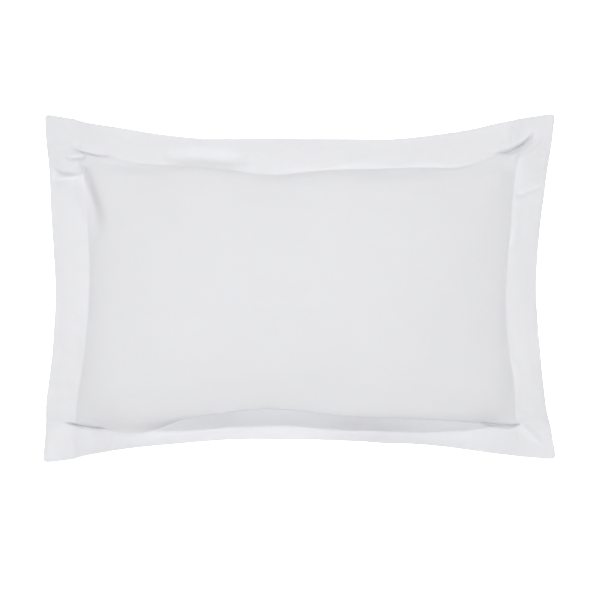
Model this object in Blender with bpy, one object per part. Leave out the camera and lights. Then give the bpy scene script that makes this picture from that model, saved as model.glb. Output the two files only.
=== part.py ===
"""A flanged pillowcase with its pillow inside, lying on its back.

Two sewn panels make a bag, and a doubled cloth border, the flange, stands out
all round beyond the stitch line. The filling draws the sides in between the
corners, so the corners reach further out than the middles. +X runs along the
long side, +Y towards the head edge, +Z up from the surface it lies on.
"""

from collections import namedtuple

import bmesh
import bpy
import numpy as np
from mathutils import Matrix, Vector

# The cloth laid flat, in metres: the bag inside the stitch line, and its border.
BAG_LENGTH = 0.750
BAG_DEPTH = 0.500
FLANGE_WIDTH = 0.050
FLANGE_THICKNESS = 0.0022
INNER_EDGE = 0.0009

# The filled bag: how high the front swells above the stitch line and how deep
# the back below it, the share by which the front's top lies nearer the foot,
# and how steeply the cloth goes up the walls.
CROWN_HEIGHT = 0.080
BACK_DEPTH = 0.090
SLUMP = 0.20
WALL_SLOPE = 0.42

HALF_X = BAG_LENGTH / 2
HALF_Y = BAG_DEPTH / 2

# One row a side. stitch and edge are the distances from the centre line to the
# stitch line and to the outer edge, halfway along the side. straight is the
# share of the side that the filling keeps straight. height is the stitch
# line's, and lift is how far the outer edge stands above it: in the middle of
# the side, and at its corners. curl is the power by which the lift grows.
SIDES = {
    "left": dict(stitch=0.327, edge=0.3795, straight=0.05, height=0.071, lift=-0.010, tip_lift=-0.006, curl=2.0),
    "right": dict(stitch=0.318, edge=0.3700, straight=0.05, height=0.070, lift=-0.012, tip_lift=-0.004, curl=2.0),
    "foot": dict(stitch=0.190, edge=0.2350, straight=0.22, height=0.066, lift=0.025, tip_lift=0.010, curl=1.4),
    "head": dict(stitch=0.181, edge=0.2290, straight=0.30, height=0.074, lift=-0.018, tip_lift=-0.007, curl=1.8),
}

# How each face rises from the stitches of each side: rise is 1 for a plain
# slope and less for a steeper wall, and the flat top is wider the higher
# shoulder is. eased is the share of the waves' easing that it takes.
FRONT = {
    "left": dict(rise=1.30, shoulder=3.9, eased=1.0),
    "right": dict(rise=1.34, shoulder=3.9, eased=1.0),
    "foot": dict(rise=0.46, shoulder=5.0, eased=1.0),
    "head": dict(rise=1.04, shoulder=3.0, eased=1.0),
}
BACK = {
    "left": dict(rise=0.52, shoulder=4.6, eased=0.0),
    "right": dict(rise=0.52, shoulder=4.6, eased=0.0),
    "foot": dict(rise=0.52, shoulder=3.1, eased=0.0),
    "head": dict(rise=0.52, shoulder=3.1, eased=0.0),
}

# One row a corner: where the stitch line turns, where the flange's tip lies,
# and how high the stitch line is there.
CORNERS = {
    ("left", "foot"): dict(stitch_x=0.3490, stitch_y=0.2175, tip_x=0.4015, tip_y=0.2770, height=0.050),
    ("right", "foot"): dict(stitch_x=0.3410, stitch_y=0.2180, tip_x=0.4030, tip_y=0.2705, height=0.052),
    ("left", "head"): dict(stitch_x=0.3450, stitch_y=0.2175, tip_x=0.3945, tip_y=0.2680, height=0.054),
    ("right", "head"): dict(stitch_x=0.3425, stitch_y=0.2175, tip_x=0.3975, tip_y=0.2690, height=0.055),
}

# The powers by which a side's distances and heights grow to those of its
# corners, and the share of a side within which they run out past a corner.
BOW = 1.25
HEIGHT_BOW = 2.0
RUN_OUT = 0.06

# Waves of the flange: where each is centred along its side, its half length,
# and what it adds to the outer edge's lift, to how far out that edge lies, to
# the stitch line's distance and height, and to the ease of the front's rise.
Wave = namedtuple("Wave", "side centre reach lift shift seam_shift raised ease")
WAVES = (
    Wave("head", -0.270, 0.055, 0.006, 0.002, 0.000, 0.000, 0.0),
    Wave("head", -0.235, 0.065, 0.000, 0.000, -0.005, 0.000, 0.6),
    Wave("head", -0.135, 0.075, 0.000, 0.000, 0.005, 0.000, 0.0),
    Wave("head", -0.075, 0.060, -0.005, 0.001, 0.000, 0.000, 0.0),
    Wave("head", -0.040, 0.060, 0.000, 0.000, -0.009, 0.000, 0.0),
    Wave("head", 0.150, 0.070, 0.005, -0.001, 0.000, 0.000, 0.0),
    Wave("head", 0.240, 0.060, 0.000, 0.000, -0.011, 0.000, 0.0),
    Wave("head", 0.285, 0.045, -0.006, 0.000, 0.000, 0.000, 0.0),
    Wave("head", 0.315, 0.050, 0.000, 0.003, 0.000, 0.000, 0.0),
    Wave("foot", -0.234, 0.070, 0.000, -0.003, 0.024, 0.032, 0.0),
    Wave("foot", -0.240, 0.055, 0.000, 0.000, 0.000, 0.000, 1.6),
    Wave("foot", -0.020, 0.120, 0.000, 0.000, -0.008, 0.000, 0.0),
    Wave("foot", 0.235, 0.045, 0.000, 0.000, -0.005, 0.000, 0.0),
    Wave("foot", -0.238, 0.058, -0.018, 0.000, 0.000, 0.000, 0.0),
    Wave("foot", -0.045, 0.070, -0.004, 0.000, 0.000, 0.000, 0.0),
    Wave("foot", 0.115, 0.060, 0.007, 0.003, 0.000, 0.000, 0.0),
    Wave("foot", 0.290, 0.080, -0.004, 0.004, 0.000, 0.000, 0.0),
    Wave("left", 0.110, 0.040, 0.007, 0.000, 0.000, 0.000, 0.0),
    Wave("left", 0.055, 0.100, 0.000, 0.000, -0.006, 0.000, 0.0),
    Wave("left", -0.010, 0.045, -0.006, -0.001, 0.000, 0.000, 0.0),
    Wave("left", -0.175, 0.060, 0.005, 0.004, 0.004, 0.000, 0.0),
    Wave("right", 0.190, 0.055, 0.000, 0.002, 0.000, 0.000, 0.0),
    Wave("right", 0.135, 0.028, 0.008, 0.000, 0.000, 0.000, 0.0),
    Wave("right", 0.060, 0.120, 0.000, 0.000, 0.003, 0.000, 0.0),
    Wave("right", 0.020, 0.050, -0.005, 0.000, 0.000, 0.000, 0.0),
    Wave("right", -0.120, 0.045, 0.005, 0.000, 0.000, 0.000, 0.0),
    Wave("right", -0.150, 0.060, 0.000, 0.000, 0.006, 0.000, 0.0),
)

# Soft folds, each a trough (height below 0) or a ridge along a straight run
# in plan, with its half width.
FOLDS = (
    dict(where="head left crease", start=(-0.360, 0.220), end=(-0.300, 0.205), width=0.0060, height=-0.009),
    dict(where="head left ridge", start=(-0.335, 0.203), end=(-0.270, 0.193), width=0.0070, height=0.005),
    dict(where="head left knot", start=(-0.371, 0.195), end=(-0.338, 0.181), width=0.0070, height=0.007),
    dict(where="head left valley", start=(-0.384, 0.162), end=(-0.346, 0.168), width=0.0070, height=-0.005),
    dict(where="head left pull", start=(-0.338, 0.178), end=(-0.305, 0.112), width=0.0130, height=-0.016),
    dict(where="head flange dip", start=(-0.180, 0.199), end=(-0.090, 0.195), width=0.0120, height=-0.007),
    dict(where="head seam hollow", start=(-0.040, 0.167), end=(0.250, 0.177), width=0.0085, height=-0.004),
    dict(where="head right crease", start=(0.303, 0.205), end=(0.340, 0.217), width=0.0060, height=-0.007),
    dict(where="head right tuck", start=(0.334, 0.214), end=(0.370, 0.244), width=0.0060, height=-0.009),
    dict(where="head right ridge", start=(0.326, 0.202), end=(0.382, 0.234), width=0.0070, height=0.005),
    dict(where="head right valley", start=(0.330, 0.141), end=(0.380, 0.159), width=0.0070, height=-0.005),
    dict(where="foot left crease", start=(-0.372, -0.211), end=(-0.296, -0.217), width=0.0060, height=-0.010),
    dict(where="foot left slump", start=(-0.320, -0.190), end=(-0.200, -0.188), width=0.0230, height=-0.005),
    dict(where="foot right crease", start=(0.285, -0.209), end=(0.344, -0.215), width=0.0060, height=-0.011),
    dict(where="foot right ridge", start=(0.345, -0.222), end=(0.382, -0.246), width=0.0070, height=0.004),
)

# Where the filled front hangs out over the foot's stitch line: centre along
# the side, half length and how far.
OVERHANGS = (
    dict(centre=-0.105, reach=0.050, out=0.004),
    dict(centre=0.080, reach=0.080, out=0.011),
    dict(centre=0.270, reach=0.095, out=0.0145),
    dict(centre=0.350, reach=0.030, out=0.010),
)

# How finely each piece is divided.
BAG_COLUMNS = 46
BAG_ROWS = 34
FLANGE_STEPS = 7
EDGE_SPACING = 1.38

BAG_COLOUR = (0.80, 0.80, 0.83)
FLANGE_COLOUR = (0.83, 0.83, 0.86)


def smooth_step(value):
    value = np.clip(value, 0.0, 1.0)
    return value * value * (3.0 - 2.0 * value)


def hump(distance, reach):
    """1 at the middle of a fold or wave, dying away softly past its half width."""
    return np.exp(-((distance / reach) ** 2))


def side_line(along, middle, at_low_end, at_high_end, straight, bow):
    """A size that grows from the middle of a side to each of its ends."""
    end = np.where(along < 0, at_low_end, at_high_end)
    share = np.maximum((np.abs(along) - straight) / (1.0 - straight), 0.0)
    return middle + (end - middle) * share**bow


def wave_sum(side, along, column):
    waves = (wave for wave in WAVES if wave.side == side)
    return sum(getattr(wave, column) * hump(along - wave.centre, wave.reach) for wave in waves)


def run_past(along, half):
    """The share along half a side, which runs out softly past its corners."""
    share = np.abs(along) / half
    past = np.maximum(share - 1.0, 0.0)
    return np.sign(along) * (np.minimum(share, 1.0) + RUN_OUT * (1.0 - np.exp(-past / RUN_OUT)))


def side_ends(side):
    """A side's half length in the bag, and the corners at its low and high ends."""
    upright = side in ("left", "right")
    ends = (("left", "right"), ("foot", "head"))[upright]
    corners = [CORNERS[(side, end) if upright else (end, side)] for end in ends]
    return (HALF_Y if upright else HALF_X), "x" if upright else "y", corners


def stitch_and_edge(side, along):
    """The distances of the stitch line and of the outer edge from the centre line."""
    row = SIDES[side]
    half, axis, corners = side_ends(side)
    share = run_past(along, half)
    stitch = side_line(share, row["stitch"], *(c[f"stitch_{axis}"] for c in corners), row["straight"], BOW)
    reach = half + FLANGE_WIDTH
    edge = side_line(along / reach, row["edge"], *(c[f"tip_{axis}"] for c in corners), row["straight"], BOW)
    return stitch + wave_sum(side, along, "seam_shift"), edge + wave_sum(side, along, "shift")


def stitch_height(side, along, flat_along):
    """The height of the stitch line at a place along the filled bag, and along the flat cloth."""
    half, _, corners = side_ends(side)
    heights = (corner["height"] for corner in corners)
    height = side_line(run_past(along, half), SIDES[side]["height"], *heights, 0.0, HEIGHT_BOW)
    return height + wave_sum(side, flat_along, "raised")


def flange_lift(side, along, flat_along, out):
    """How much higher the flange lies than the stitch line, which grows outwards over it."""
    row = SIDES[side]
    reach = side_ends(side)[0] + FLANGE_WIDTH
    lift = side_line(along / reach, row["lift"], row["tip_lift"], row["tip_lift"], 0.2, HEIGHT_BOW)
    return (lift + wave_sum(side, flat_along, "lift")) * out ** row["curl"]


def taut_share(flat, half, reach):
    """How far across the filled bag a point of the flat cloth lies, from -1 to 1.

    The cloth is taut over the crown and goes up the walls at a steep angle, so
    a given length of cloth covers less of the plan there.
    """
    stretch = half / reach
    power = (stretch - WALL_SLOPE) / (stretch - 1.0)
    share = np.clip(np.abs(flat) / half, 0.0, 1.0)
    return np.sign(flat) * (stretch * share - (stretch - 1.0) * share**power)


def across(flat, along, half, low_side, high_side):
    """One plan coordinate of a point of the cloth, its share across, and how far out on the flange it is."""
    low_stitch, low_edge = stitch_and_edge(low_side, along)
    high_stitch, high_edge = stitch_and_edge(high_side, along)
    share = taut_share(flat, half, (SIDES[low_side]["stitch"] + SIDES[high_side]["stitch"]) / 2)
    inside = ((1.0 + share) * high_stitch - (1.0 - share) * low_stitch) / 2
    out = np.clip((np.abs(flat) - half) / FLANGE_WIDTH, 0.0, 1.0)
    stitch = np.where(flat < 0, low_stitch, high_stitch)
    edge = np.where(flat < 0, low_edge, high_edge)
    outside = np.sign(flat) * (stitch + (edge - stitch) * out)
    return np.where(out > 0, outside, inside), share, out


def between_sides(share_x, share_y, along_x, along_y, flat_x, flat_y):
    """The height of the stitch line, carried smoothly across the bag from all four sides."""
    left, right = (stitch_height(side, along_y, flat_y) for side in ("left", "right"))
    foot, head = (stitch_height(side, along_x, flat_x) for side in ("foot", "head"))
    to_right, to_head = (1.0 + share_x) / 2, (1.0 + share_y) / 2
    corners = sum(
        CORNERS[(side, end)]["height"]
        * (to_right if side == "right" else 1.0 - to_right)
        * (to_head if end == "head" else 1.0 - to_head)
        for side, end in CORNERS
    )
    return left + (right - left) * to_right + foot + (head - foot) * to_head - corners


def swell(share_x, share_y, flat_x, flat_y, form):
    """How far the filling has pushed the bag out, from 0 at the stitches to 1 in the middle."""
    pushed = 1.0
    for share, along, low, high in ((share_x, flat_y, "left", "right"), (share_y, flat_x, "foot", "head")):
        low_rise, high_rise = (
            form[side]["rise"] + form[side]["eased"] * wave_sum(side, along, "ease") for side in (low, high)
        )
        shoulder = np.where(share < 0, form[low]["shoulder"], form[high]["shoulder"])
        pushed = pushed * (1.0 - np.abs(share) ** shoulder) ** np.where(share < 0, low_rise, high_rise)
    return pushed


def fold_height(x, y):
    """The sum of the soft folds at a point in plan."""
    total = 0.0
    for fold in FOLDS:
        start = np.array(fold["start"])
        run = np.array(fold["end"]) - start
        share = np.clip(((x - start[0]) * run[0] + (y - start[1]) * run[1]) / (run @ run), 0.0, 1.0)
        away = np.hypot(x - start[0] - share * run[0], y - start[1] - share * run[1])
        total = total + fold["height"] * hump(away, fold["width"])
    return total


def cloth_point(flat_x, flat_y, face):
    """Where a point of the flat cloth lies when the case is filled. face is front, back or flange."""
    x, share_x, out_x = across(flat_x, flat_y, HALF_X, "left", "right")
    y, share_y, out_y = across(flat_y, flat_x, HALF_Y, "foot", "head")
    along_x = np.where(out_x > 0, flat_x, share_x * HALF_X)
    along_y = np.where(out_y > 0, flat_y, share_y * HALF_Y)
    left, right = (flange_lift(end, along_y, flat_y, out_x) for end in ("left", "right"))
    foot, head = (flange_lift(end, along_x, flat_x, out_y) for end in ("foot", "head"))
    z = between_sides(share_x, share_y, along_x, along_y, flat_x, flat_y)
    z = z + np.where(flat_x < 0, left, right) + np.where(flat_y < 0, foot, head)
    folds = fold_height(x, y)
    if face == "flange":
        return x, y, z + folds
    if face == "back":
        pushed = swell(share_x, share_y, flat_x, flat_y, BACK)
        return x, y, np.maximum(z - BACK_DEPTH * pushed + folds * (1.0 - pushed) ** 2, 0.0)
    pushed = swell(share_x, share_y + SLUMP * (1.0 - share_y**2), flat_x, flat_y, FRONT)
    out = sum(row["out"] * hump(flat_x - row["centre"], row["reach"]) for row in OVERHANGS)
    wall = 4.0 * pushed * (1.0 - pushed) * smooth_step(-2.0 * share_y - 0.6)
    return x, y - out * wall, z + CROWN_HEIGHT * pushed + folds


def new_object(name, build_mesh, colour, collection):
    """An object of one cloth piece, shaded smooth, with its own matt cotton material."""
    mesh = bpy.data.meshes.new(name)
    build_mesh.to_mesh(mesh)
    build_mesh.free()
    mesh.shade_smooth()
    material = bpy.data.materials.new(f"{name}_cotton")
    material.use_nodes = True
    shader = material.node_tree.nodes["Principled BSDF"]
    shader.inputs["Base Color"].default_value = (*colour, 1.0)
    shader.inputs["Roughness"].default_value = 0.85
    shader.inputs["Metallic"].default_value = 0.0
    mesh.materials.append(material)
    piece = bpy.data.objects.new(name, mesh)
    collection.objects.link(piece)
    return piece


def flat_lines(cells, half, flange_steps):
    """Where the cell lines of one direction cross the flat cloth: close together near the stitch line."""
    across_bag = np.linspace(-1.0, 1.0, cells + 1)
    bag = half * (EDGE_SPACING * across_bag + (1.0 - EDGE_SPACING) * across_bag**3)
    if not flange_steps:
        return bag
    border = half + np.linspace(INNER_EDGE, FLANGE_WIDTH, flange_steps + 1)
    return np.concatenate([-border[::-1], bag[1:-1], border])


def flat_cloth(flange_steps):
    """A flat cloth, cut to the bag alone or with its border round it."""
    lines_x = flat_lines(BAG_COLUMNS, HALF_X, flange_steps)
    lines_y = flat_lines(BAG_ROWS, HALF_Y, flange_steps)
    columns, rows = len(lines_x) - 1, len(lines_y) - 1
    cloth = bmesh.new()
    bmesh.ops.create_grid(cloth, x_segments=columns, y_segments=rows, size=0.5)
    for point in cloth.verts:
        point.co.x = lines_x[round((point.co.x + 0.5) * columns)]
        point.co.y = lines_y[round((point.co.y + 0.5) * rows)]
    return cloth


def shape(points, face):
    """Moves points of the flat cloth to where the filled case has them, keeping their height in the cloth."""
    for point in points:
        level = point.co.z
        x, y, z = cloth_point(point.co.x, point.co.y, face)
        point.co = (float(x), float(y), float(z) + level)


def make_filled_bag(collection):
    """Front and back panels, sewn to each other at the stitch line, with the filling between them."""
    bag = flat_cloth(flange_steps=0)
    front = list(bag.verts)
    copied = bmesh.ops.duplicate(bag, geom=bag.verts[:] + bag.edges[:] + bag.faces[:])["geom"]
    back = [item for item in copied if isinstance(item, bmesh.types.BMVert)]
    back_faces = [item for item in copied if isinstance(item, bmesh.types.BMFace)]
    bmesh.ops.reverse_faces(bag, faces=back_faces)
    shape(front, "front")
    shape(back, "back")
    bmesh.ops.remove_doubles(bag, verts=bag.verts, dist=0.00001)
    return new_object("filled_bag", bag, BAG_COLOUR, collection)


def make_flange(collection):
    """The doubled border outside the stitch line: one ring of cloth, extruded to its thickness."""
    border = flat_cloth(FLANGE_STEPS)
    inside = [
        face
        for face in border.faces
        if abs(face.calc_center_median().x) < HALF_X and abs(face.calc_center_median().y) < HALF_Y
    ]
    bmesh.ops.delete(border, geom=inside, context="FACES")
    layers = bmesh.ops.extrude_face_region(border, geom=border.faces[:], use_keep_orig=True)["geom"]
    upper = [item for item in layers if isinstance(item, bmesh.types.BMVert)]
    for point in border.verts:
        point.co.z = -FLANGE_THICKNESS / 2
    for point in upper:
        point.co.z = FLANGE_THICKNESS / 2
    bmesh.ops.recalc_face_normals(border, faces=border.faces)
    shape(border.verts, "flange")
    return new_object("flange", border, FLANGE_COLOUR, collection)


def stand_on_origin(pieces):
    """Centres the case over the origin, with its lowest point on the surface."""
    points = np.array([point.co for piece in pieces for point in piece.data.vertices])
    low, high = points.min(axis=0), points.max(axis=0)
    shift = Vector((-(low[0] + high[0]) / 2, -(low[1] + high[1]) / 2, -low[2]))
    for piece in pieces:
        piece.data.transform(Matrix.Translation(shift))


for leftover in list(bpy.data.objects):
    bpy.data.objects.remove(leftover)
case = bpy.data.collections.new("pillowcase")
bpy.context.scene.collection.children.link(case)
stand_on_origin([make_filled_bag(case), make_flange(case)])
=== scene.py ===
import math
from collections import namedtuple

import bmesh
import bpy
import numpy as np
from mathutils import Matrix, Vector, noise


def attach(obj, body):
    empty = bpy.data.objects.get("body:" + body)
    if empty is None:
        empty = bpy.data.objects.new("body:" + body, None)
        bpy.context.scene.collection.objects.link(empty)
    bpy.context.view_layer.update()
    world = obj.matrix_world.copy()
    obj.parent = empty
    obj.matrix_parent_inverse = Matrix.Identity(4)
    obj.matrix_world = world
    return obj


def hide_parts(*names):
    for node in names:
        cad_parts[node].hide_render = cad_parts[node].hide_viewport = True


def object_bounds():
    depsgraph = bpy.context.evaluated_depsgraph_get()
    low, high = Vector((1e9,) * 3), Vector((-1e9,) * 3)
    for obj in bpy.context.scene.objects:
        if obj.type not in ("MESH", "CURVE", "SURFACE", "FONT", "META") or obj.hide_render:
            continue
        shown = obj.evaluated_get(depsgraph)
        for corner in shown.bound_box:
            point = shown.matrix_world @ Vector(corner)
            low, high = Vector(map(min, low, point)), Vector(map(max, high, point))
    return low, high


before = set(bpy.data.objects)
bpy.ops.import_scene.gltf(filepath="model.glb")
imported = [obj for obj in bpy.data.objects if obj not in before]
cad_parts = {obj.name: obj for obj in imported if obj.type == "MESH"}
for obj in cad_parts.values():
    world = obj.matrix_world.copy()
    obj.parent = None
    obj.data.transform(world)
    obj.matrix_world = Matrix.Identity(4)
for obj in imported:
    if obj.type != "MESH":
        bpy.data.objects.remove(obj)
solid_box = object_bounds()

# The case: two panels of white plain-weave cotton, 85 x 60 cm, sewn face to
# face, turned and pressed, then stitched through both 5 cm inside the edge.
# The doubled cloth outside the stitches is the flange, and the rest the bag.
PANEL_LENGTH = 0.850
PANEL_DEPTH = 0.600
FLANGE_WIDTH = 0.050
HALF_X = PANEL_LENGTH / 2 - FLANGE_WIDTH
HALF_Y = PANEL_DEPTH / 2 - FLANGE_WIDTH

# Half the thickness of the doubled cloth at the stitches and past the width
# that they press flat, what the seam allowance, turned in along the outer edge,
# adds to it over its own width and down a short step, and how round the tips are.
STITCHED_HALF = 0.0007
PRESSED_WIDTH = 0.006
FLANGE_HALF = 0.0009
ALLOWANCE_HALF = 0.0003
ALLOWANCE_WIDTH = 0.011
ALLOWANCE_STEP = 0.002
TIP_RADIUS = 0.009

# One row a side. stitch and edge are how far the stitch line and the outer edge
# are from the centre line, halfway along the side, and straight is the share of
# the side that the filling keeps straight. height is the stitch line's, and lift
# is how far the outer edge stands above it, in the middle and at the tips. curl
# is the power by which the lift grows outwards.
SIDES = {
    "left": dict(
        stitch=0.327, edge=0.3795, straight=0.05, height=0.071, lift=-0.010, tip_lift=-0.006, curl=2.0
    ),
    "right": dict(
        stitch=0.318, edge=0.3700, straight=0.05, height=0.070, lift=-0.012, tip_lift=-0.004, curl=2.0
    ),
    "foot": dict(
        stitch=0.190, edge=0.2350, straight=0.22, height=0.066, lift=0.025, tip_lift=0.010, curl=1.4
    ),
    "head": dict(
        stitch=0.181, edge=0.2290, straight=0.30, height=0.074, lift=-0.018, tip_lift=-0.007, curl=1.8
    ),
}

# How each face rises from the stitches of each side: rise is 1 for a plain
# slope and less for a steeper wall, and the flat top is wider the higher
# shoulder is. eased is the share of the waves' easing that it takes.
FRONT = {
    "left": dict(rise=1.30, shoulder=3.9, eased=1.0),
    "right": dict(rise=1.34, shoulder=3.9, eased=1.0),
    "foot": dict(rise=0.46, shoulder=5.0, eased=1.0),
    "head": dict(rise=1.04, shoulder=3.0, eased=1.0),
}
BACK = {
    "left": dict(rise=0.52, shoulder=4.6, eased=0.0),
    "right": dict(rise=0.52, shoulder=4.6, eased=0.0),
    "foot": dict(rise=0.52, shoulder=3.1, eased=0.0),
    "head": dict(rise=0.52, shoulder=3.1, eased=0.0),
}

# One row a corner: where the stitch line turns, where the flange's tip lies,
# and how high the stitch line is there.
CORNERS = {
    ("left", "foot"): dict(stitch_x=0.3490, stitch_y=0.2175, tip_x=0.4015, tip_y=0.2770, height=0.050),
    ("right", "foot"): dict(stitch_x=0.3410, stitch_y=0.2180, tip_x=0.4030, tip_y=0.2705, height=0.052),
    ("left", "head"): dict(stitch_x=0.3450, stitch_y=0.2175, tip_x=0.3945, tip_y=0.2680, height=0.054),
    ("right", "head"): dict(stitch_x=0.3425, stitch_y=0.2175, tip_x=0.3975, tip_y=0.2690, height=0.055),
}

# The powers by which a side's distances and heights grow to those of its
# corners, the share of it along which the lift stays even, and the share
# within which distances and heights run out past a corner.
BOW = 1.25
HEIGHT_BOW = 2.0
EVEN_LIFT = 0.2
RUN_OUT = 0.06

# Waves of the flange: where each is centred along its side, its half length,
# and what it adds to the outer edge's lift, to how far out that edge lies, to
# the stitch line's distance and height, and to the ease of the front's rise.
Wave = namedtuple("Wave", "side centre reach lift shift seam_shift raised ease")
WAVES = (
    Wave("head", -0.270, 0.055, 0.006, 0.002, 0.000, 0.000, 0.0),
    Wave("head", -0.235, 0.065, 0.000, 0.000, -0.005, 0.000, 0.6),
    Wave("head", -0.135, 0.075, 0.000, 0.000, 0.005, 0.000, 0.0),
    Wave("head", -0.075, 0.060, -0.005, 0.001, 0.000, 0.000, 0.0),
    Wave("head", -0.040, 0.060, 0.000, 0.000, -0.009, 0.000, 0.0),
    Wave("head", 0.150, 0.070, 0.005, -0.001, 0.000, 0.000, 0.0),
    Wave("head", 0.240, 0.060, 0.000, 0.000, -0.011, 0.000, 0.0),
    Wave("head", 0.285, 0.045, -0.006, 0.000, 0.000, 0.000, 0.0),
    Wave("head", 0.315, 0.050, 0.000, 0.003, 0.000, 0.000, 0.0),
    Wave("foot", -0.234, 0.070, 0.000, -0.003, 0.024, 0.032, 0.0),
    Wave("foot", -0.240, 0.055, 0.000, 0.000, 0.000, 0.000, 1.6),
    Wave("foot", -0.020, 0.120, 0.000, 0.000, -0.008, 0.000, 0.0),
    Wave("foot", 0.235, 0.045, 0.000, 0.000, -0.005, 0.000, 0.0),
    Wave("foot", -0.238, 0.058, -0.018, 0.000, 0.000, 0.000, 0.0),
    Wave("foot", -0.045, 0.070, -0.004, 0.000, 0.000, 0.000, 0.0),
    Wave("foot", 0.115, 0.060, 0.007, 0.003, 0.000, 0.000, 0.0),
    Wave("foot", 0.290, 0.080, -0.004, 0.004, 0.000, 0.000, 0.0),
    Wave("left", 0.110, 0.040, 0.007, 0.000, 0.000, 0.000, 0.0),
    Wave("left", 0.055, 0.100, 0.000, 0.000, -0.006, 0.000, 0.0),
    Wave("left", -0.010, 0.045, -0.006, -0.001, 0.000, 0.000, 0.0),
    Wave("left", -0.175, 0.060, 0.005, 0.004, 0.004, 0.000, 0.0),
    Wave("right", 0.190, 0.055, 0.000, 0.002, 0.000, 0.000, 0.0),
    Wave("right", 0.135, 0.028, 0.008, 0.000, 0.000, 0.000, 0.0),
    Wave("right", 0.060, 0.120, 0.000, 0.000, 0.003, 0.000, 0.0),
    Wave("right", 0.020, 0.050, -0.005, 0.000, 0.000, 0.000, 0.0),
    Wave("right", -0.120, 0.045, 0.005, 0.000, 0.000, 0.000, 0.0),
    Wave("right", -0.150, 0.060, 0.000, 0.000, 0.006, 0.000, 0.0),
)

# How high the filling swells the bag above the stitch line and how deep below
# it, the share by which its top lies nearer the foot, and how steeply the
# cloth goes up the walls.
CROWN_HEIGHT = 0.080
BACK_DEPTH = 0.090
SLUMP = 0.20
WALL_SLOPE = 0.42

# Where the swollen front hangs out over the foot's stitches: centre along the
# side, half length and how far. It does so between two shares of the way from
# the middle of the bag to its foot.
OVERHANG_FROM = 0.3
OVERHANG_FULL = 0.8
OVERHANGS = (
    dict(centre=-0.105, reach=0.050, out=0.004),
    dict(centre=0.080, reach=0.080, out=0.011),
    dict(centre=0.270, reach=0.095, out=0.0145),
    dict(centre=0.350, reach=0.030, out=0.010),
)

# The cells of the cloth: across the bag, closer together near the stitches,
# and across the flange, with three fine ones that round its folded edge.
# Points nearer than SAME_PLACE to each other are one.
BAG_COLUMNS = 92
BAG_ROWS = 62
EDGE_SPACING = 1.36
FLANGE_CELLS = 11
ROUNDED_EDGE = (0.0, 0.0005, 0.0016, 0.0045)
SAME_PLACE = 0.00001


def smooth_step(value):
    value = np.clip(value, 0.0, 1.0)
    return value * value * (3.0 - 2.0 * value)


def hump(distance, reach):
    """1 in the middle of a fold or wave, dying away softly past its half width."""
    return np.exp(-((distance / reach) ** 2))


def side_line(along, middle, at_low_end, at_high_end, straight, bow):
    """A size that grows from the middle of a side to each of its ends."""
    end = np.where(along < 0, at_low_end, at_high_end)
    share = np.maximum((np.abs(along) - straight) / (1.0 - straight), 0.0)
    return middle + (end - middle) * share**bow


def wave_sum(side, along, column):
    waves = (wave for wave in WAVES if wave.side == side)
    return sum(getattr(wave, column) * hump(along - wave.centre, wave.reach) for wave in waves)


def run_past(along, half):
    """The share along half a side, which runs out softly past its corners."""
    share = np.abs(along) / half
    past = np.maximum(share - 1.0, 0.0)
    return np.sign(along) * (np.minimum(share, 1.0) + RUN_OUT * (1.0 - np.exp(-past / RUN_OUT)))


def side_ends(side):
    """A side's half length in the bag, and the corners at its low and high ends."""
    upright = side in ("left", "right")
    ends = (("left", "right"), ("foot", "head"))[upright]
    corners = [CORNERS[(side, end) if upright else (end, side)] for end in ends]
    return (HALF_Y if upright else HALF_X), "x" if upright else "y", corners


def stitch_and_edge(side, along):
    """The distances of the stitch line and of the outer edge from the centre line."""
    row = SIDES[side]
    half, axis, corners = side_ends(side)
    share = run_past(along, half)
    stitch = side_line(share, row["stitch"], *(c[f"stitch_{axis}"] for c in corners), row["straight"], BOW)
    reach = half + FLANGE_WIDTH
    edge = side_line(along / reach, row["edge"], *(c[f"tip_{axis}"] for c in corners), row["straight"], BOW)
    return stitch + wave_sum(side, along, "seam_shift"), edge + wave_sum(side, along, "shift")


def stitch_height(side, along, flat_along):
    """The height of the stitch line at a place along the filled bag, and along the flat panel."""
    half, _, corners = side_ends(side)
    heights = (corner["height"] for corner in corners)
    height = side_line(run_past(along, half), SIDES[side]["height"], *heights, 0.0, HEIGHT_BOW)
    return height + wave_sum(side, flat_along, "raised")


def flange_lift(side, along, flat_along, out):
    """How much higher the flange lies than the stitch line, which grows outwards over it."""
    row = SIDES[side]
    reach = side_ends(side)[0] + FLANGE_WIDTH
    lift = side_line(along / reach, row["lift"], row["tip_lift"], row["tip_lift"], EVEN_LIFT, HEIGHT_BOW)
    return (lift + wave_sum(side, flat_along, "lift")) * out ** row["curl"]


def taut_share(flat, half, reach):
    """How far across the filled bag a point of the flat cloth lies, from -1 to 1."""
    stretch = half / reach
    power = (stretch - WALL_SLOPE) / (stretch - 1.0)
    share = np.clip(np.abs(flat) / half, 0.0, 1.0)
    return np.sign(flat) * (stretch * share - (stretch - 1.0) * share**power)


def across(flat, along, half, low_side, high_side):
    """A plan coordinate of the cloth, its share across the bag, and how far out on the flange it is."""
    low_stitch, low_edge = stitch_and_edge(low_side, along)
    high_stitch, high_edge = stitch_and_edge(high_side, along)
    share = taut_share(flat, half, (SIDES[low_side]["stitch"] + SIDES[high_side]["stitch"]) / 2)
    inside = ((1.0 + share) * high_stitch - (1.0 - share) * low_stitch) / 2
    out = np.clip((np.abs(flat) - half) / FLANGE_WIDTH, 0.0, 1.0)
    stitch = np.where(flat < 0, low_stitch, high_stitch)
    edge = np.where(flat < 0, low_edge, high_edge)
    outside = np.sign(flat) * (stitch + (edge - stitch) * out)
    return np.where(out > 0, outside, inside), share, out


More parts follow.
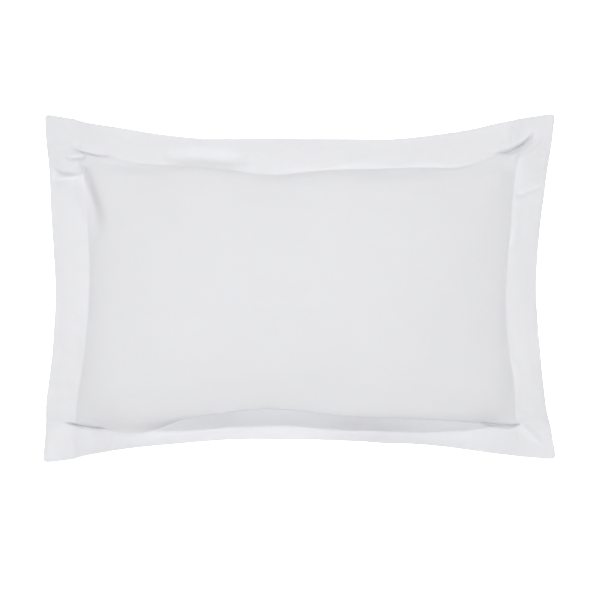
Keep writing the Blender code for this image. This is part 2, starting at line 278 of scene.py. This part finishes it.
def between_sides(share_x, share_y, along_x, along_y, flat_x, flat_y):
    """The height of the stitch line, carried smoothly across the bag from all four sides."""
    left, right = (stitch_height(side, along_y, flat_y) for side in ("left", "right"))
    foot, head = (stitch_height(side, along_x, flat_x) for side in ("foot", "head"))
    to_right, to_head = (1.0 + share_x) / 2, (1.0 + share_y) / 2
    corners = sum(
        CORNERS[(side, end)]["height"]
        * (to_right if side == "right" else 1.0 - to_right)
        * (to_head if end == "head" else 1.0 - to_head)
        for side, end in CORNERS
    )
    return left + (right - left) * to_right + foot + (head - foot) * to_head - corners


def swell(share_x, share_y, flat_x, flat_y, form):
    """How far the filling has pushed the bag out, from 0 at the stitches to 1 in the middle."""
    pushed = 1.0
    for share, along, low, high in ((share_x, flat_y, "left", "right"), (share_y, flat_x, "foot", "head")):
        low_rise, high_rise = (
            form[side]["rise"] + form[side]["eased"] * wave_sum(side, along, "ease") for side in (low, high)
        )
        shoulder = np.where(share < 0, form[low]["shoulder"], form[high]["shoulder"])
        pushed = pushed * (1.0 - np.abs(share) ** shoulder) ** np.where(share < 0, low_rise, high_rise)
    return pushed


def half_thickness(flat_x, flat_y):
    """Half the thickness of the doubled cloth: pinched at the stitches, round at the folded edge."""
    out = np.maximum(np.abs(flat_x) - HALF_X, np.abs(flat_y) - HALF_Y)
    past_x = np.abs(flat_x) - HALF_X - FLANGE_WIDTH + TIP_RADIUS
    past_y = np.abs(flat_y) - HALF_Y - FLANGE_WIDTH + TIP_RADIUS
    past_tip = np.hypot(np.maximum(past_x, 0.0), np.maximum(past_y, 0.0))
    past_side = np.minimum(np.maximum(past_x, past_y), 0.0)
    inset = np.clip(TIP_RADIUS - (past_tip + past_side), 0.0, None)
    pressed = STITCHED_HALF + (FLANGE_HALF - STITCHED_HALF) * smooth_step(out / PRESSED_WIDTH)
    turned_in = ALLOWANCE_HALF * smooth_step((ALLOWANCE_WIDTH - inset) / ALLOWANCE_STEP)
    full = pressed + turned_in
    rounding = np.clip(inset / full, 0.0, 1.0)
    return full * np.sqrt(1.0 - (1.0 - rounding) ** 2)


def filled_place(flat_x, flat_y, side):
    """Where a point of the flat cloth lies in the filled case. side is 1 in front and -1 behind."""
    x, share_x, out_x = across(flat_x, flat_y, HALF_X, "left", "right")
    y, share_y, out_y = across(flat_y, flat_x, HALF_Y, "foot", "head")
    along_x = np.where(out_x > 0, flat_x, share_x * HALF_X)
    along_y = np.where(out_y > 0, flat_y, share_y * HALF_Y)
    left, right = (flange_lift(end, along_y, flat_y, out_x) for end in ("left", "right"))
    foot, head = (flange_lift(end, along_x, flat_x, out_y) for end in ("foot", "head"))
    z = between_sides(share_x, share_y, along_x, along_y, flat_x, flat_y)
    z = z + np.where(flat_x < 0, left, right) + np.where(flat_y < 0, foot, head)
    front = swell(share_x, share_y + SLUMP * (1.0 - share_y**2), flat_x, flat_y, FRONT)
    back = swell(share_x, share_y, flat_x, flat_y, BACK)
    out = sum(row["out"] * hump(flat_x - row["centre"], row["reach"]) for row in OVERHANGS)
    near_foot = smooth_step((-share_y - OVERHANG_FROM) / (OVERHANG_FULL - OVERHANG_FROM))
    wall = 4.0 * front * (1.0 - front) * near_foot
    y = y - np.where(side > 0, out * wall, 0.0)
    z = z + np.where(side > 0, CROWN_HEIGHT * front, -BACK_DEPTH * back)
    z = z + side * half_thickness(flat_x, flat_y)
    return x, y, np.where(side < 0, np.maximum(z, 0.0), z)


def cell_lines(cells, half):
    """Where the cell lines of one direction cross the flat panel."""
    across_bag = np.linspace(-1.0, 1.0, cells + 1)
    bag = half * (EDGE_SPACING * across_bag + (1.0 - EDGE_SPACING) * across_bag**3)
    plain = np.linspace(ROUNDED_EDGE[-1], FLANGE_WIDTH, FLANGE_CELLS + 1)[1:-1]
    border = half + FLANGE_WIDTH - np.concatenate([ROUNDED_EDGE, plain])
    return np.concatenate([-border, bag, border[::-1]])


def round_tip(flat_x, flat_y):
    """Rounds the corners of the flat panel."""
    straight_x, straight_y = HALF_X + FLANGE_WIDTH - TIP_RADIUS, HALF_Y + FLANGE_WIDTH - TIP_RADIUS
    past_x, past_y = (abs(flat_x) - straight_x) / TIP_RADIUS, (abs(flat_y) - straight_y) / TIP_RADIUS
    if past_x <= 0 or past_y <= 0:
        return flat_x, flat_y
    round_x = straight_x + TIP_RADIUS * past_x * math.sqrt(1.0 - past_y**2 / 2)
    round_y = straight_y + TIP_RADIUS * past_y * math.sqrt(1.0 - past_x**2 / 2)
    return math.copysign(round_x, flat_x), math.copysign(round_y, flat_y)


def cut_panels():
    """Two flat panels over each other, joined along their outer edge, each point marked with its place."""
    lines_x, lines_y = cell_lines(BAG_COLUMNS, HALF_X), cell_lines(BAG_ROWS, HALF_Y)
    columns, rows = len(lines_x) - 1, len(lines_y) - 1
    panels = bmesh.new()
    place = panels.verts.layers.float_vector.new("flat_place")
    bmesh.ops.create_grid(panels, x_segments=columns, y_segments=rows, size=0.5)
    for point in panels.verts:
        column, row = round((point.co.x + 0.5) * columns), round((point.co.y + 0.5) * rows)
        point.co.x, point.co.y = round_tip(lines_x[column], lines_y[row])
        rim = column in (0, columns) or row in (0, rows)
        point[place] = (point.co.x, point.co.y, 0.0 if rim else 1.0)
    copied = bmesh.ops.duplicate(panels, geom=panels.verts[:] + panels.edges[:] + panels.faces[:])["geom"]
    for item in copied:
        if isinstance(item, bmesh.types.BMVert):
            item[place].z = -item[place].z
    bmesh.ops.reverse_faces(panels, faces=[item for item in copied if isinstance(item, bmesh.types.BMFace)])
    rim = [point for point in panels.verts if point[place].z == 0.0]
    bmesh.ops.remove_doubles(panels, verts=rim, dist=SAME_PLACE)
    mesh = bpy.data.meshes.new("pillowcase")
    panels.to_mesh(mesh)
    panels.free()
    return mesh


def read_points(mesh):
    places = np.empty(len(mesh.vertices) * 3)
    mesh.vertices.foreach_get("co", places)
    return places.reshape(-1, 3)


def flat_places(mesh):
    places = np.empty(len(mesh.vertices) * 3)
    mesh.attributes["flat_place"].data.foreach_get("vector", places)
    return places.reshape(-1, 3).T


def move_points(mesh, places):
    mesh.vertices.foreach_set("co", np.asarray(places, dtype=float).ravel())
    mesh.update()


case = bpy.data.objects.new("pillowcase", cut_panels())
bpy.context.scene.collection.objects.link(case)
flat_x, flat_y, side = flat_places(case.data)
move_points(case.data, np.stack(filled_place(flat_x, flat_y, side), axis=1))


# The pillow inside presses the slack cloth out. Only its effect is made: the
# cloth is a little longer than the form it lies on, is blown up softly, and
# settles into the small puckers and waves that real cotton has near a seam.
CLOTH = dict(
    quality=6,
    mass=0.02,
    tension_stiffness=30.0,
    compression_stiffness=30.0,
    shear_stiffness=6.0,
    bending_stiffness=0.08,
    air_damping=4.0,
    use_pressure=True,
    uniform_pressure_force=2.5,
    pin_stiffness=0.8,
    shrink_min=0.0,
    shrink_max=-0.020,
)
SETTLING_STEPS = 16
MOST_MOVED = 0.007

# The filling holds the cloth in its form: fully where it rests on the table,
# least at the stitches, and more towards the middle of the bag. The slack lies
# near the stitches, and there is less of it at the flange's turned-in edge.
RESTING_HEIGHT = 0.012
HELD_LEAST = 0.10
HELD_MORE = 0.25
HELD_REACH = 0.15
FILLED_REACH = 0.010
SLACK_REACH = 0.070
TURNED_IN_FROM = 0.045
SLACK_TURNED_IN = 0.5
JOINED_REACH = 0.012

# Where the seam is pulled tight and the cloth can't puff out, on the flat
# panel: the middle of each such stretch and how far it reaches each way.
TAUT_STRETCHES = (
    dict(x=-0.030, y=0.250, reach_x=0.330, reach_y=0.050),
    dict(x=-0.262, y=-0.250, reach_x=0.080, reach_y=0.070),
    dict(x=-0.375, y=-0.020, reach_x=0.040, reach_y=0.190),
    dict(x=0.375, y=-0.020, reach_x=0.040, reach_y=0.190),
)


def taut_weight(flat_x, flat_y):
    """How taut the cloth is at each of its points, from 0 to 1."""
    total = 0.0
    for row in TAUT_STRETCHES:
        total = total + hump(flat_x - row["x"], row["reach_x"]) * hump(flat_y - row["y"], row["reach_y"])
    return np.minimum(total, 1.0)


def settle(piece):
    """Lets the cloth settle over its filling, then keeps the shape and drops the simulation."""
    mesh = piece.data
    flat_x, flat_y, side = flat_places(mesh)
    out = np.maximum(np.abs(flat_x) - HALF_X, np.abs(flat_y) - HALF_Y)
    start = read_points(mesh)
    held = HELD_LEAST + HELD_MORE * smooth_step(-out / HELD_REACH)
    weights = {
        "held": np.where(start[:, 2] < RESTING_HEIGHT, 1.0, held),
        "filled": smooth_step(-out / FILLED_REACH),
        "slack": smooth_step(1.0 + out / SLACK_REACH) * np.where(out > TURNED_IN_FROM, SLACK_TURNED_IN, 1.0),
    }
    for name, values in weights.items():
        group = piece.vertex_groups.new(name=name)
        for index, value in enumerate(values):
            group.add([index], float(value), "REPLACE")
    cloth = piece.modifiers.new("settling", "CLOTH")
    for name, value in CLOTH.items():
        setattr(cloth.settings, name, value)
    cloth.settings.vertex_group_pressure = "filled"
    cloth.settings.vertex_group_mass = "held"
    cloth.settings.vertex_group_shrink = "slack"
    cloth.settings.effector_weights.gravity = 0.0
    cloth.collision_settings.use_collision = False
    cloth.point_cache.frame_start = 1
    cloth.point_cache.frame_end = SETTLING_STEPS
    for step in range(1, SETTLING_STEPS + 1):
        bpy.context.scene.frame_set(step)
    shaped = piece.evaluated_get(bpy.context.evaluated_depsgraph_get()).to_mesh()
    moved = read_points(shaped) - start
    piece.evaluated_get(bpy.context.evaluated_depsgraph_get()).to_mesh_clear()
    piece.modifiers.remove(cloth)
    bpy.context.scene.frame_set(1)
    # Both layers of the flange go where their mean goes, and no point goes far.
    columns = {}
    for index, key in enumerate(zip(flat_x.round(6), flat_y.round(6))):
        columns.setdefault(key, []).append(index)
    mean = moved.copy()
    for indices in columns.values():
        mean[indices] = moved[indices].mean(axis=0)
    together = smooth_step(1.0 + out / JOINED_REACH)[:, None]
    moved = moved + (mean - moved) * together
    length = np.linalg.norm(moved, axis=1, keepdims=True)
    moved = moved * (MOST_MOVED * np.tanh(length / MOST_MOVED) / np.maximum(length, 1e-9))
    loose = 1.0 - taut_weight(flat_x, flat_y)[:, None]
    move_points(mesh, start + moved * loose)


settle(case)


def refine(piece):
    """Divides each cell of the cloth in four, smoothly."""
    fine = piece.modifiers.new("fine", "SUBSURF")
    fine.levels = fine.render_levels = 1
    mesh = bpy.data.meshes.new_from_object(piece.evaluated_get(bpy.context.evaluated_depsgraph_get()))
    piece.modifiers.remove(fine)
    piece.data = mesh


refine(case)

# The folds: soft troughs and ridges pressed or pulled into the cloth, mostly
# where the corners are drawn in.
#
# Each runs along a curve in plan, from start to end past its bend, and is
# highest or deepest at its peak, a share of the way along. lean pushes it over
# to the left of its run, so that this side is steep or overhangs.
Fold = namedtuple("Fold", "where start bend end width height lean peak")
FOLDS = (
    Fold(
        "head left crease", (-0.35, 0.216), (-0.33, 0.2085), (-0.292, 0.203), 0.0013, -0.0045, -0.0006, 0.55
    ),
    Fold("head left slope", (-0.352, 0.2175), (-0.327, 0.2095), (-0.29, 0.204), 0.009, -0.004, -0.003, 0.5),
    Fold("head left ridge", (-0.335, 0.205), (-0.306, 0.201), (-0.262, 0.191), 0.004, 0.003, 0.0, 0.4),
    Fold("head left hollow", (-0.362, 0.199), (-0.345, 0.203), (-0.326, 0.199), 0.0045, -0.006, 0.0, 0.6),
    Fold("head left knot", (-0.376, 0.203), (-0.376, 0.175), (-0.334, 0.18), 0.0055, 0.007, -0.003, 0.88),
    Fold("head left trough", (-0.31, 0.19), (-0.245, 0.183), (-0.18, 0.181), 0.011, -0.003, 0.0, 0.5),
    Fold("head left valley", (-0.384, 0.161), (-0.367, 0.166), (-0.343, 0.169), 0.007, -0.005, 0.002, 0.5),
    Fold("head left pull", (-0.342, 0.19), (-0.331, 0.148), (-0.294, 0.066), 0.014, -0.014, 0.002, 0.28),
    Fold("head right crease", (0.3, 0.206), (0.338, 0.2125), (0.368, 0.244), 0.0015, -0.01, -0.0012, 0.42),
    Fold("head right slope", (0.3, 0.207), (0.338, 0.2135), (0.368, 0.244), 0.009, -0.004, -0.003, 0.5),
    Fold("head right ridge", (0.325, 0.201), (0.35, 0.207), (0.382, 0.235), 0.005, 0.004, 0.0, 0.4),
    Fold("head right tuck", (0.322, 0.198), (0.331, 0.165), (0.322, 0.11), 0.015, -0.004, 0.0, 0.45),
    Fold("head right valley", (0.329, 0.14), (0.354, 0.152), (0.381, 0.16), 0.006, -0.004, -0.002, 0.4),
    Fold(
        "foot left crease", (-0.371, -0.2105), (-0.334, -0.2235), (-0.29, -0.2155), 0.0015, -0.01, -0.001, 0.4
    ),
    Fold(
        "foot left hollow", (-0.335, -0.213), (-0.305, -0.218), (-0.27, -0.217), 0.0075, -0.004, -0.002, 0.45
    ),
    Fold("foot left slump", (-0.335, -0.188), (-0.255, -0.197), (-0.18, -0.184), 0.023, -0.005, 0.0, 0.5),
    Fold(
        "foot right crease", (0.274, -0.2055), (0.32, -0.2265), (0.35, -0.2135), 0.0016, -0.013, 0.001, 0.45
    ),
    Fold("foot right ridge", (0.345, -0.214), (0.364, -0.229), (0.382, -0.248), 0.005, 0.003, 0.0, 0.4),
    Fold("head seam hollow", (-0.06, 0.164), (0.096, 0.1745), (0.272, 0.177), 0.0085, -0.0045, 0.002, 0.45),
    Fold("head flange dip", (-0.213, 0.2), (-0.145, 0.2045), (-0.065, 0.193), 0.014, -0.01, -0.005, 0.5),
)

# A curve's straight runs, how wide a fold is at its ends, as a share, and how
# soon along its run it reaches its full height.
CURVE_STEPS = 24
END_WIDTH = 0.7
FULL_SHARE = 1.7


def curve_points(row):
    """Points along a fold's curve, and how high the fold is at each, from 0 to 1."""
    share = np.linspace(0.0, 1.0, CURVE_STEPS + 1)[:, None]
    start, bend, end = (np.array(point) for point in (row.start, row.bend, row.end))
    curve = (1.0 - share) ** 2 * start + 2.0 * share * (1.0 - share) * bend + share**2 * end
    rise = np.minimum(share / row.peak, (1.0 - share) / (1.0 - row.peak))
    return curve, smooth_step(FULL_SHARE * rise[:, 0])


def fold(mesh):
    """Presses the folds into the cloth."""
    flat_x, flat_y, side = flat_places(mesh)
    share_x = np.clip(flat_x / HALF_X, -1.0, 1.0)
    share_y = np.clip(flat_y / HALF_Y, -1.0, 1.0)
    behind = (1.0 - swell(share_x, share_y, flat_x, flat_y, BACK)) ** 2
    weight = np.where(side < 0, behind, 1.0)
    points = read_points(mesh)
    for row in FOLDS:
        curve, rise = curve_points(row)
        best = np.full(len(points), np.inf)
        left = np.zeros((len(points), 2))
        tall = np.zeros(len(points))
        for low, high, low_rise, high_rise in zip(curve[:-1], curve[1:], rise[:-1], rise[1:]):
            run = high - low
            share = np.clip(((points[:, :2] - low) @ run) / (run @ run), 0.0, 1.0)
            distance = np.linalg.norm(points[:, :2] - low - share[:, None] * run, axis=1)
            nearer = distance < best
            best = np.where(nearer, distance, best)
            left[nearer] = np.array((-run[1], run[0])) / np.linalg.norm(run)
            tall = np.where(nearer, low_rise + (high_rise - low_rise) * share, tall)
        width = row.width * (END_WIDTH + (1.0 - END_WIDTH) * tall)
        near = hump(best, width) * tall * weight
        points[:, 2] += row.height * near
        points[:, :2] += left * (row.lean * near)[:, None]
    points[:, 2] = np.where(side < 0, np.maximum(points[:, 2], 0.0), points[:, 2])
    move_points(mesh, points)


# Between the folds the cloth is a little uneven, as cotton is that was ironed
# and then filled: the length, depth and height of its unevenness, and how far
# apart in the noise the layers of it are taken.
LAYERS_APART = 3.7
RUMPLES = (
    dict(on="bag", length=0.110, depth=0.075, height=0.0022),
    dict(on="bag", length=0.045, depth=0.030, height=0.0007),
    dict(on="flange", length=0.050, depth=0.040, height=0.0026),
    dict(on="flange", length=0.018, depth=0.016, height=0.0007),
)
FLANGE_FADE = 0.010
BAG_FADE = 0.030


def rumple(mesh):
    """Makes the cloth softly uneven, more so on the flange, both layers of it together."""
    flat_x, flat_y, side = flat_places(mesh)
    out = np.maximum(np.abs(flat_x) - HALF_X, np.abs(flat_y) - HALF_Y)
    on_flange, on_bag = smooth_step(out / FLANGE_FADE), smooth_step(-out / BAG_FADE)
    weights = {"flange": on_flange, "bag": on_bag * (side > 0)}
    points = read_points(mesh)
    for layer, row in enumerate(RUMPLES):
        places = zip(flat_x / row["length"], flat_y / row["depth"])
        swing = np.array([noise.noise(Vector((x, y, LAYERS_APART * layer))) for x, y in places])
        points[:, 2] += row["height"] * swing * weights[row["on"]]
    points[:, 2] = np.where(side < 0, np.maximum(points[:, 2], 0.0), points[:, 2])
    move_points(mesh, points)


fold(case.data)
rumple(case.data)


def stand_in_frame(piece):
    """Brings the case to where the frame has it: over its box, its lowest point on the surface."""
    low, high = (np.array(corner) for corner in solid_box)
    points = read_points(piece.data)
    middle = (points.min(axis=0) + points.max(axis=0)) / 2
    shift = (low + high) / 2 - middle
    shift[2] = low[2] - points[:, 2].min()
    piece.data.transform(Matrix.Translation(Vector(shift)))


stand_in_frame(case)
case.data.shade_smooth()


# The cotton: a plain weave of 24 threads a centimetre each way with a few
# thicker yarns, a little rough. It is lighter on the flange, partly because doubled cloth is whiter and
# partly as painted light for the brighter light the flange catches.
COTTON_ONE_LAYER = (0.762, 0.764, 0.786)
# Flange colour: partly doubled cloth, partly painted light that brightens the flange.
COTTON_DOUBLED_AND_PAINTED_LIGHT = (0.777, 0.779, 0.801)
ROUGHNESS = 0.92
SHEEN = 0.08
THREADS_PER_METRE = 2400.0
YARN_LENGTH = 0.060
YARN_WIDTH = 0.0011
WEAVE_DEPTH = 0.00005
YARN_DEPTH = 0.00012
CREPE_SIZE = 0.006
CREPE_DEPTH = 0.00015
CREPE_DETAIL = 3.0


def cotton_material(name):
    material = bpy.data.materials.new(name)
    material.use_nodes = True
    nodes, links = material.node_tree.nodes, material.node_tree.links
    shader = nodes["Principled BSDF"]
    shader.inputs["Roughness"].default_value = ROUGHNESS
    shader.inputs["Sheen Weight"].default_value = SHEEN

    def add(kind, **settings):
        node = nodes.new(kind)
        for key, value in settings.items():
            setattr(node, key, value)
        return node

    def math_node(operation, first, second=0.0):
        node = add("ShaderNodeMath", operation=operation)
        for socket, value in zip(node.inputs, (first, second)):
            if isinstance(value, float):
                socket.default_value = value
            else:
                links.new(value, socket)
        return node.outputs["Value"]

    def noise_at(place, length, depth, detail=1.0):
        """Noise over the flat cloth, stretched by a length along it and a length across it."""
        stretch = add("ShaderNodeVectorMath", operation="MULTIPLY")
        links.new(place, stretch.inputs[0])
        stretch.inputs[1].default_value = (1.0 / length, 1.0 / depth, 1.0)
        texture = add("ShaderNodeTexNoise")
        texture.inputs["Scale"].default_value = 1.0
        texture.inputs["Detail"].default_value = detail
        links.new(stretch.outputs["Vector"], texture.inputs["Vector"])
        return texture.outputs["Fac"]

    place = add("ShaderNodeAttribute", attribute_name="flat_place").outputs["Vector"]
    split = add("ShaderNodeSeparateXYZ")
    links.new(place, split.inputs["Vector"])
    along, up = split.outputs["X"], split.outputs["Y"]
    turn = math.pi * THREADS_PER_METRE
    warp = math_node("SINE", math_node("MULTIPLY", along, turn))
    weft = math_node("SINE", math_node("MULTIPLY", up, turn))
    weave = math_node("MULTIPLY", warp, weft)
    weft_yarns = noise_at(place, YARN_LENGTH, YARN_WIDTH)
    warp_yarns = noise_at(place, YARN_WIDTH, YARN_LENGTH)
    yarns = math_node("ADD", weft_yarns, warp_yarns)
    crepe = noise_at(place, CREPE_SIZE, CREPE_SIZE, CREPE_DETAIL)
    relief = math_node("MULTIPLY", weave, WEAVE_DEPTH)
    relief = math_node("ADD", relief, math_node("MULTIPLY", yarns, YARN_DEPTH))
    relief = math_node("ADD", relief, math_node("MULTIPLY", crepe, CREPE_DEPTH))
    bump = add("ShaderNodeBump")
    bump.inputs["Distance"].default_value = 1.0
    links.new(relief, bump.inputs["Height"])
    links.new(bump.outputs["Normal"], shader.inputs["Normal"])

    # Painted light: the flange gets the lighter colour, partly for the doubled cloth and partly to paint in
    # the brighter light on it.
    past_x = math_node("SUBTRACT", math_node("ABSOLUTE", along), HALF_X)
    past_y = math_node("SUBTRACT", math_node("ABSOLUTE", up), HALF_Y)
    doubled_and_painted_light = math_node("GREATER_THAN", math_node("MAXIMUM", past_x, past_y), 0.0)
    colours = add("ShaderNodeMix", data_type="RGBA")
    links.new(doubled_and_painted_light, colours.inputs["Factor"])
    colours.inputs["A"].default_value = (*COTTON_ONE_LAYER, 1.0)
    colours.inputs["B"].default_value = (*COTTON_DOUBLED_AND_PAINTED_LIGHT, 1.0)
    links.new(colours.outputs["Result"], shader.inputs["Base Color"])
    return material


case.data.materials.clear()
case.data.materials.append(cotton_material("white_cotton"))
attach(case, "root")
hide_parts("filled_bag", "flange")


# The stitching: one row of white thread through both panels, three
# millimetres a stitch, seen on both faces as short raised dashes. The needle
# pulls the ends of each into the cloth.
STITCH_PITCH = 0.0030
STITCH_LENGTH = 0.0025
THREAD_THICKNESS = 0.0005
THREAD_RAISED = 0.0001
THREAD_COLOUR = (0.78, 0.78, 0.80)
THREAD_ROUGHNESS = 0.6


def stitch_row(mesh, face):
    """The stitch line on one face, in order round the case, and the cloth's normals along it."""
    flat_x, flat_y, side = flat_places(mesh)
    out = np.maximum(np.abs(flat_x) - HALF_X, np.abs(flat_y) - HALF_Y)
    line = np.flatnonzero((np.abs(out) < SAME_PLACE) & (side * face > 0))
    x, y = flat_x[line], flat_y[line]
    foot, right, head = y < SAME_PLACE - HALF_Y, x > HALF_X - SAME_PLACE, y > HALF_Y - SAME_PLACE
    along_foot, along_right = x + HALF_X, 2.0 * HALF_X + HALF_Y + y
    along_head, along_left = 3.0 * HALF_X + 2.0 * HALF_Y - x, 4.0 * HALF_X + 3.0 * HALF_Y - y
    round_case = np.select([foot, right, head], [along_foot, along_right, along_head], along_left)
    line = line[np.argsort(round_case)]
    line = np.append(line, line[0])
    normals = np.empty(len(mesh.vertices) * 3)
    mesh.vertices.foreach_get("normal", normals)
    return read_points(mesh)[line], normals.reshape(-1, 3)[line]


def one_stitch():
    """The points and faces of a round dash of unit size, along Z."""
    dash = bmesh.new()
    bmesh.ops.create_uvsphere(dash, u_segments=6, v_segments=4, radius=0.5)
    points = np.array([point.co for point in dash.verts])
    faces = [[point.index for point in face.verts] for face in dash.faces]
    dash.free()
    return points, faces


def read_along(distance, length, rows):
    """The rows, given at the lengths along the line, read at other distances along it."""
    return np.stack([np.interp(distance, length, rows[:, axis]) for axis in range(3)], axis=1)


def unit(vectors):
    return vectors / np.linalg.norm(vectors, axis=1, keepdims=True)


def make_stitches(mesh):
    """Copies of one stitch along the stitch line of both faces, joined as one mesh."""
    dash, dash_faces = one_stitch()
    thread_size = np.array([[THREAD_THICKNESS], [THREAD_THICKNESS], [STITCH_LENGTH]])
    points, faces = [], []
    for face in (1, -1):
        places, normals = stitch_row(mesh, face)
        length = np.append(0.0, np.cumsum(np.linalg.norm(np.diff(places, axis=0), axis=1)))
        count = round(length[-1] / STITCH_PITCH)
        middles = length[-1] * (np.arange(count) + 0.5) / count
        fore, aft = (read_along(middles + end * STITCH_LENGTH / 2, length, places) for end in (1, -1))
        along = unit(fore - aft)
        beside = unit(np.cross(read_along(middles, length, normals), along))
        up = np.cross(along, beside)
        centres = read_along(middles, length, places) + up * THREAD_RAISED
        for centre, side_way, up_way, long_way in zip(centres, beside, up, along):
            first = len(points) * len(dash)
            turned = np.stack([side_way, up_way, long_way]) * thread_size
            points.append(centre + dash @ turned)
            faces.extend([first + index for index in corners] for corners in dash_faces)
    stitches = bpy.data.meshes.new("stitching")
    stitches.from_pydata(np.concatenate(points), [], faces)
    return stitches


def thread_material():
    material = bpy.data.materials.new("white_thread")
    material.use_nodes = True
    shader = material.node_tree.nodes["Principled BSDF"]
    shader.inputs["Base Color"].default_value = (*THREAD_COLOUR, 1.0)
    shader.inputs["Roughness"].default_value = THREAD_ROUGHNESS
    return material


stitching = bpy.data.objects.new("stitching", make_stitches(case.data))
bpy.context.scene.collection.objects.link(stitching)
stitching.data.shade_smooth()
stitching.data.materials.append(thread_material())
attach(stitching, "root")


# The studio: a lit white table, pale surroundings and soft lights, the
# strongest of them in front of the case and towards its head edge.
TABLE_SIDE = 8.0
TABLE_COLOUR = (0.9, 0.9, 0.9)
TABLE_GLOW = 1.15
SURROUNDINGS = 0.19
floor_mesh = bpy.data.meshes.new("table")
table = bmesh.new()
bmesh.ops.create_grid(table, x_segments=1, y_segments=1, size=TABLE_SIDE / 2)
table.to_mesh(floor_mesh)
table.free()
floor = bpy.data.objects.new("table", floor_mesh)
bpy.context.scene.collection.objects.link(floor)
floor_material = bpy.data.materials.new("table_white")
floor_material.use_nodes = True
floor_shader = floor_material.node_tree.nodes["Principled BSDF"]
floor_shader.inputs["Base Color"].default_value = (*TABLE_COLOUR, 1.0)
floor_shader.inputs["Roughness"].default_value = 1.0
floor_shader.inputs["Emission Color"].default_value = (1.0, 1.0, 1.0, 1.0)
floor_shader.inputs["Emission Strength"].default_value = TABLE_GLOW
floor_mesh.materials.append(floor_material)

world = bpy.data.worlds.new("studio")
bpy.context.scene.world = world
world.use_nodes = True
world.node_tree.nodes["Background"].inputs["Color"].default_value = (1.0, 1.0, 1.0, 1.0)
world.node_tree.nodes["Background"].inputs["Strength"].default_value = SURROUNDINGS

LIGHTS = (
    dict(name="front", from_face=0, turned=0, distance=5.0, size=1.6, power=72),
    dict(name="head_side", from_face=38, turned=0, distance=5.0, size=0.3, power=65),
    dict(name="foot_side", from_face=35, turned=180, distance=5.0, size=1.5, power=57),
    dict(name="left_side", from_face=45, turned=-90, distance=5.0, size=1.5, power=35),
    dict(name="right_side", from_face=45, turned=90, distance=5.0, size=1.5, power=28),
)
for row in LIGHTS:
    lamp = bpy.data.lights.new(row["name"], "AREA")
    lamp.energy = row["power"]
    lamp.size = row["size"]
    light = bpy.data.objects.new(row["name"], lamp)
    bpy.context.scene.collection.objects.link(light)
    lean, turn = math.radians(row["from_face"]), math.radians(row["turned"])
    direction = Vector((math.sin(lean) * math.sin(turn), math.sin(lean) * math.cos(turn), math.cos(lean)))
    light.location = direction * row["distance"]
    light.rotation_euler = (-direction).to_track_quat("-Z", "Y").to_euler()

# The camera looks straight at the face, leaning a little towards the head.
METRES_PER_PIXEL = 0.001543
CASE_CENTRE_X = 299.0
CASE_CENTRE_Y = 289.9
IMAGE_SIZE = 605
CAMERA_DISTANCE = 2.6
CAMERA_LEAN = math.radians(4.0)
FACE_HEIGHT = 0.07
SENSOR_WIDTH = 36.0
lens = bpy.data.cameras.new("camera")
lens.sensor_width = SENSOR_WIDTH
lens.lens = SENSOR_WIDTH * CAMERA_DISTANCE / (IMAGE_SIZE * METRES_PER_PIXEL)
camera = bpy.data.objects.new("camera", lens)
bpy.context.scene.collection.objects.link(camera)
image_middle = IMAGE_SIZE / 2
aim = Vector(
    (
        (image_middle - CASE_CENTRE_X) * METRES_PER_PIXEL,
        (CASE_CENTRE_Y - image_middle) * METRES_PER_PIXEL,
        FACE_HEIGHT,
    )
)
towards_camera = Vector((0.0, math.sin(CAMERA_LEAN), math.cos(CAMERA_LEAN)))
camera.location = aim + towards_camera * CAMERA_DISTANCE
camera.rotation_euler = (-CAMERA_LEAN, 0.0, 0.0)
bpy.context.scene.camera = camera
bpy.context.scene.view_settings.view_transform = "Standard"
